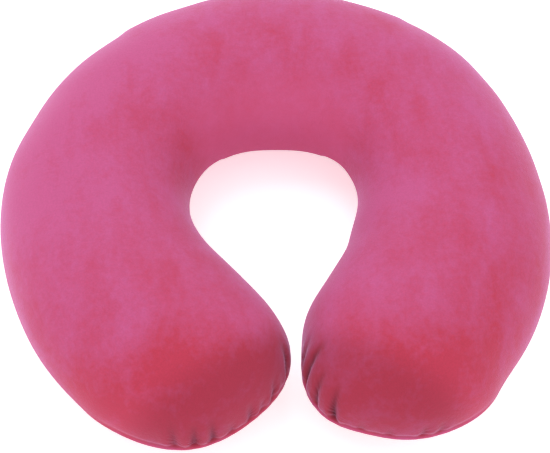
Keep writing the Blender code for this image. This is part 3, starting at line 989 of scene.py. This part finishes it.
# ---------------------------------------------------------------- stage

def make_camera():
    """Camera at the pillow's front, looking down at it, slightly from the left."""
    azimuth, elevation, roll = (math.radians(value) for value in CAMERA_TURN)
    level = math.cos(elevation)
    back = Vector((math.sin(azimuth) * level, -math.cos(azimuth) * level, math.sin(elevation)))
    camera = bpy.data.objects.new("camera", bpy.data.cameras.new("camera"))
    bpy.context.scene.collection.objects.link(camera)
    camera.data.lens = CAMERA_LENS
    camera.location = Vector((0.0, 0.0, SEAM_HEIGHT)) + back * CAMERA_DISTANCE
    aim = Vector(CAMERA_AIM) - camera.location
    turned = aim.to_track_quat("-Z", "Y") @ Matrix.Rotation(roll, 3, "Z").to_quaternion()
    camera.rotation_mode = "QUATERNION"
    camera.rotation_quaternion = turned
    bpy.context.scene.camera = camera


def make_floor():
    """A wide white studio floor."""
    material, _, _, shader = new_material("studio_floor")
    shader.inputs["Base Color"].default_value = (0.97, 0.97, 0.97, 1.0)
    shader.inputs["Roughness"].default_value = 0.9
    shader.inputs["Emission Color"].default_value = (1.0, 1.0, 1.0, 1.0)
    shader.inputs["Emission Strength"].default_value = FLOOR_GLOW
    mesh = bpy.data.meshes.new("floor")
    corners = [(x * FLOOR_HALF, y * FLOOR_HALF, 0.0) for x, y in ((-1, -1), (1, -1), (1, 1), (-1, 1))]
    mesh.from_pydata(corners, [], [(0, 1, 2, 3)])
    floor = bpy.data.objects.new("floor", mesh)
    mesh.materials.append(material)
    bpy.context.scene.collection.objects.link(floor)


def area_light(name, location, power):
    """A round soft light that points at the pillow."""
    data = bpy.data.lights.new(name, "AREA")
    data.shape = "DISK"
    data.size = LIGHT_SIZE
    data.energy = power
    light = bpy.data.objects.new(name, data)
    bpy.context.scene.collection.objects.link(light)
    light.location = location
    light.rotation_euler = (-Vector(location)).to_track_quat("-Z", "Y").to_euler()


def make_lights():
    """Even white surroundings, a key light from the back left and a weak fill from the front right."""
    world = bpy.data.worlds.new("studio")
    bpy.context.scene.world = world
    world.use_nodes = True
    background = world.node_tree.nodes["Background"]
    background.inputs["Color"].default_value = (1.0, 1.0, 1.0, 1.0)
    background.inputs["Strength"].default_value = 1.0
    area_light("key", KEY_PLACE, KEY_POWER)
    area_light("fill", FILL_PLACE, FILL_POWER)


# ---------------------------------------------------------------- build

def add_piece(piece, slot, *replaced):
    """Hide the CAD nodes that a piece replaces; its slot is not used."""
    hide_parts(*replaced)
    return piece


def build_cover():
    top_look = velour("velour_top_look", (0.470, 0.040, 0.080), (0.509, 0.089, 0.230))
    # The bottom panel takes a darker copy of the velour: painted shade.
    shaded_bottom_look = velour("velour_bottom_shaded_look", (0.430, 0.037, 0.076), (0.480, 0.080, 0.205))
    for label, side, look in (("top", 1, top_look), ("bottom", -1, shaded_bottom_look)):
        panel = cover_panel(f"{label}_velour", side, look)
        add_piece(panel, f"velour_{label}", f"cover_{label}_panel")


def build_zip():
    tape_look = woven("zip_tape_look", (0.50, 0.070, 0.170), (0.40, 0.050, 0.125), 0.0006)
    coil_look = nylon("zip_coil_look", (0.60, 0.090, 0.220), (0.50, 0.070, 0.170))
    thread_look = nylon("thread_look", (0.66, 0.12, 0.27), (0.54, 0.08, 0.19))
    for label, side in (("upper", 1), ("lower", -1)):
        tape = add_piece(zip_tape(f"tape_{label}", side, tape_look), "zip_tape", f"zip_tape_{label}")
        add_piece(zip_coil(f"coil_{label}", side, coil_look), "zip_coil", f"zip_coil_{label}")
        stitch_row(f"zip_stitches_{label}", side, thread_look)
    metal_look = plated_metal("zip_metal_look")
    for name in ("zip_top_stop_upper", "zip_top_stop_lower", "zip_bottom_stop", "zip_slider", "zip_pull"):
        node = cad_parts[name]
        for slot in node.material_slots:
            slot.material = metal_look
        edges = node.modifiers.new("worn edges", "BEVEL")
        edges.width = 0.00015
        edges.segments = 2
        edges.limit_method = "ANGLE"


def build_label():
    label, length = care_label(satin("label_satin_look"))
    add_piece(label, "label_satin", "care_label")


def build_inside():
    cloth = woven("case_cloth_look", (0.80, 0.79, 0.76), (0.68, 0.67, 0.64), 0.0005)
    for label, side in (("top", 1), ("bottom", -1)):
        case = case_panel(f"case_{label}_cloth", side, cloth)
        add_piece(case, "case_cloth", f"inner_case_{label}")
    fibre = fibre_stuffing(loose_fibre("fibre_look"))
    add_piece(fibre, "fibre", "fibre_fill")


make_camera()
make_floor()
make_lights()
build_cover()
build_zip()
build_label()
build_inside()
bpy.context.scene.view_settings.view_transform = "Standard"
